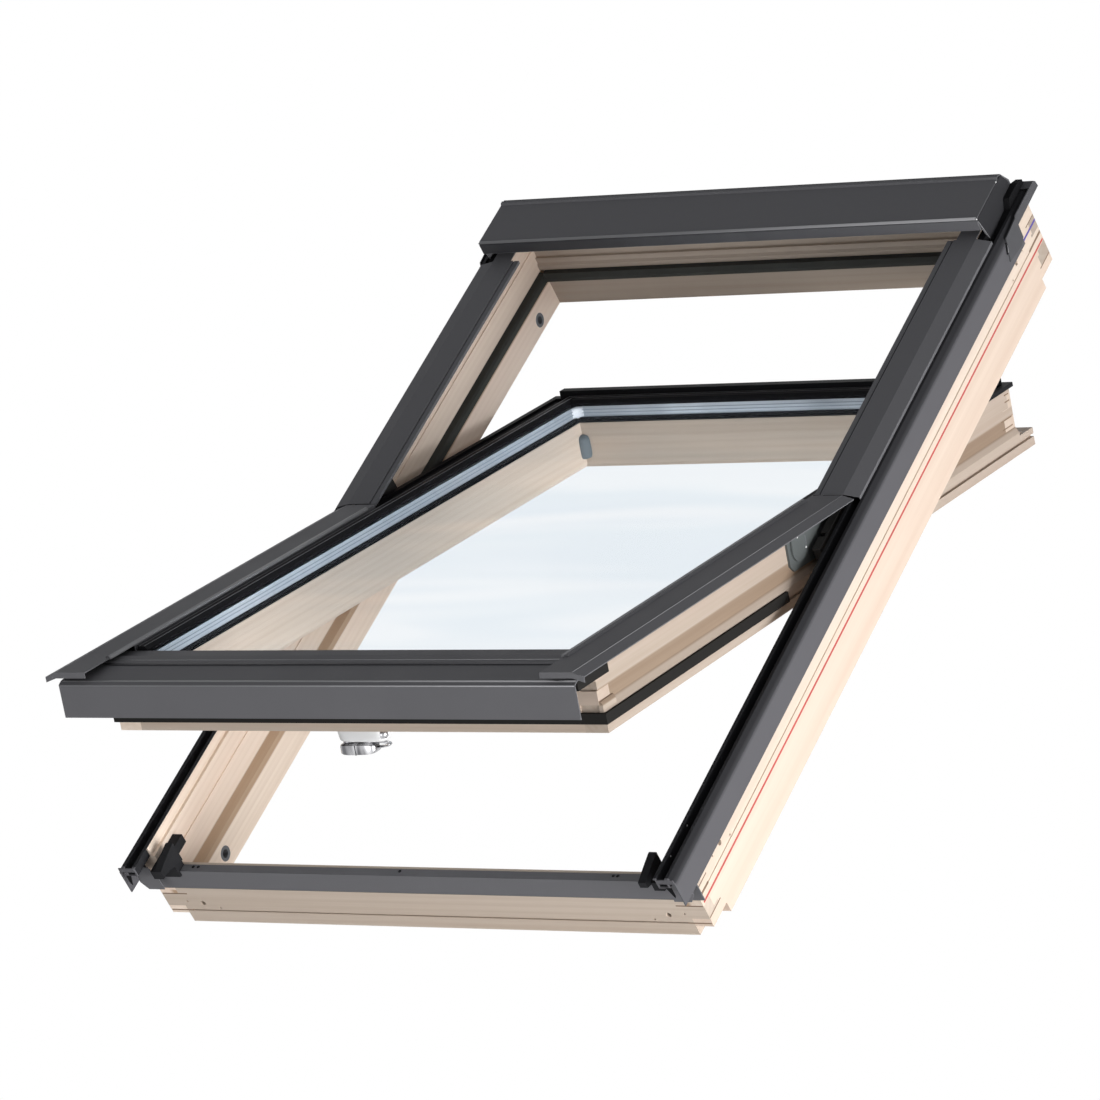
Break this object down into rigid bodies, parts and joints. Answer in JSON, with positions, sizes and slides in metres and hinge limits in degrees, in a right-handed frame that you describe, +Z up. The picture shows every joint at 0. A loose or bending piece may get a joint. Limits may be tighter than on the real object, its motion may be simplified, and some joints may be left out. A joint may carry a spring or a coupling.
{
  "type": "centre pivot roof window",
  "caption": "Centre pivot roof window: pine frame and glazed sash that turns about its middle, grey metal cladding, top casing, side covers and a handle on the bottom rail.",
  "frame": {"origin": "centre of the flat band on the outer face of the frame's bottom rail, which rests against the lower trimmer of the roof opening", "axes": "+X to the right seen from outside, +Y level into the roof, +Z up; the frame lies at its roof pitch of 45 degrees and the sash stands open"},
  "size_m": [0.799, 1.1383, 0.9444],
  "materials": {
    "frame_pine": "clear lacquered pine, satin",
    "sash_pine": "clear lacquered pine, satin",
    "rubber_seal": "matte black",
    "clear_glass": "clear, polished",
    "spacer_metal": "satin",
    "black_plastic": "fine matte",
    "grey_cladding": "matte grey enamel on aluminium",
    "bright_steel": "zinc plated, satin",
    "white_plastic": "satin white",
    "grey_plastic": "fine matte"
  },
  "bodies": {
    "frame": {"frame_bottom_cladding": "grey_cladding", "frame_bottom_rail": "frame_pine", "frame_left_cladding": "grey_cladding", "frame_left_stile": "frame_pine", "frame_right_cladding": "grey_cladding", "frame_right_stile": "frame_pine", "frame_seal": "rubber_seal", "frame_top_rail": "frame_pine", "left_casing_bracket": "bright_steel", "left_corner_block": "black_plastic", "left_hinge_track": "bright_steel", "left_upper_cover": "grey_cladding", "lower_bolt_socket": "bright_steel", "right_casing_bracket": "bright_steel", "right_corner_block": "black_plastic", "right_hinge_track": "bright_steel", "right_upper_cover": "grey_cladding", "top_casing": "grey_cladding", "upper_bolt_socket": "bright_steel"},
    "sash": {"glass_spacer": "spacer_metal", "glazing_seal": "rubber_seal", "handle_base": "white_plastic", "inner_pane": "clear_glass", "left_corner_plug": "grey_plastic", "left_end_block": "rubber_seal", "left_hinge_arm": "bright_steel", "left_sash_cover": "grey_cladding", "outer_pane": "clear_glass", "right_corner_plug": "grey_plastic", "right_end_block": "rubber_seal", "right_hinge_arm": "bright_steel", "right_sash_cover": "grey_cladding", "sash_bottom_cladding": "grey_cladding", "sash_bottom_rail": "sash_pine", "sash_left_profile": "black_plastic", "sash_left_stile": "sash_pine", "sash_right_profile": "black_plastic", "sash_right_stile": "sash_pine", "sash_seal": "rubber_seal", "sash_top_cladding": "black_plastic", "sash_top_rail": "sash_pine"},
    "handle": {"handle_lever": "bright_steel"}
  },
  "joints": [
    {"name": "sash_pivot", "type": "hinge", "parent": "frame", "child": "sash", "pos_m": [0, 0.35454, 0.4954], "axis": [1, 0, 0], "range_deg": [-129.9, 25.1]},
    {"name": "handle_turn", "type": "hinge", "parent": "sash", "child": "handle", "pos_m": [-0.027, -0.12783, 0.19741], "axis": [0, 0.3404, -0.9403], "range_deg": [-90, 0]}
  ]
}
